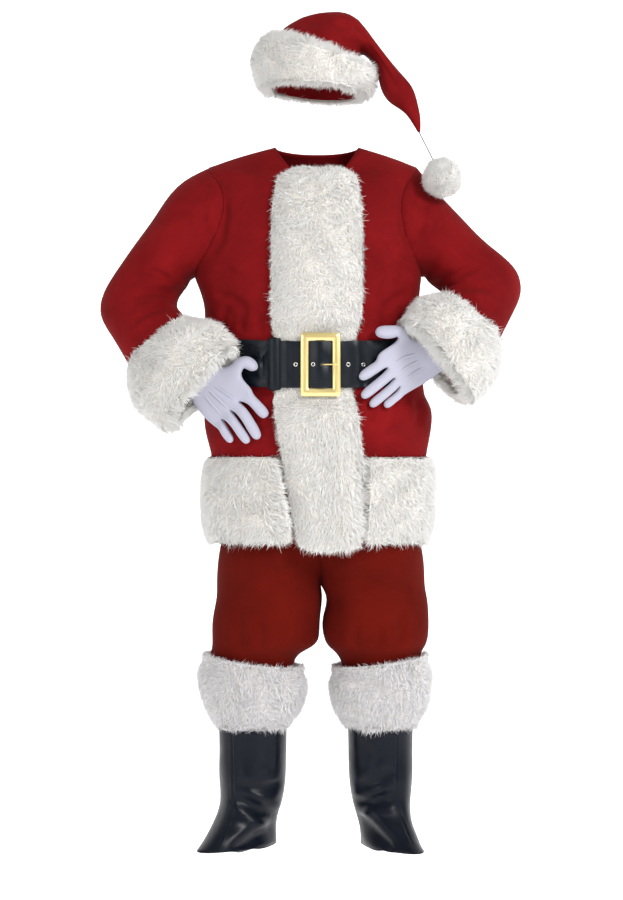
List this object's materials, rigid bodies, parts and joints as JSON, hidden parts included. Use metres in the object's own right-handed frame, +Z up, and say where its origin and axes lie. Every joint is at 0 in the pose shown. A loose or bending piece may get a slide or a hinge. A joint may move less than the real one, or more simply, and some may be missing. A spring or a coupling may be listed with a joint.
{
  "type": "santa suit",
  "caption": "Fur-trimmed red plush suit in its worn form: belted jacket, trousers, boot tops, gloves and a floppy hat with a pompom.",
  "frame": {"origin": "middle of the wearer's shoulder line, 1.500 m above the ground the wearer stands on, midway between front and back of the figure", "axes": "+X to the wearer's left, +Y to the wearer's back, so the suit faces -Y; +Z up along the standing figure"},
  "size_m": [0.9002, 0.4154, 1.7889],
  "materials": {
    "plush_red": "red plush with a short nap, soft sheen",
    "fur_white": "long-pile cream-white fake fur",
    "black_vinyl": "soft black vinyl, semi-gloss",
    "buckle_gold": "pale gold plate, polished",
    "glove_white": "thin white stretch knit",
    "thread_grey": "off-white sewing thread"
  },
  "bodies": {
    "root": {"jacket_front_right": "plush_red", "jacket_front_left": "plush_red", "jacket_back": "plush_red", "jacket_sleeve_right": "plush_red", "jacket_sleeve_left": "plush_red", "trousers_leg_right": "plush_red", "trousers_leg_left": "plush_red", "trousers_waistband": "plush_red", "hat_crown": "plush_red", "jacket_fur_front": "fur_white", "jacket_fur_hem": "fur_white", "jacket_fur_cuff_right": "fur_white", "jacket_fur_cuff_left": "fur_white", "boot_top_fur_right": "fur_white", "boot_top_fur_left": "fur_white", "hat_fur_band": "fur_white", "hat_pompom": "fur_white", "boot_top_right": "black_vinyl", "boot_top_left": "black_vinyl", "belt_strap": "black_vinyl", "belt_keeper": "black_vinyl", "belt_buckle": "buckle_gold", "glove_right": "glove_white", "glove_left": "glove_white", "hat_pompom_thread": "thread_grey"}
  },
  "joints": []
}
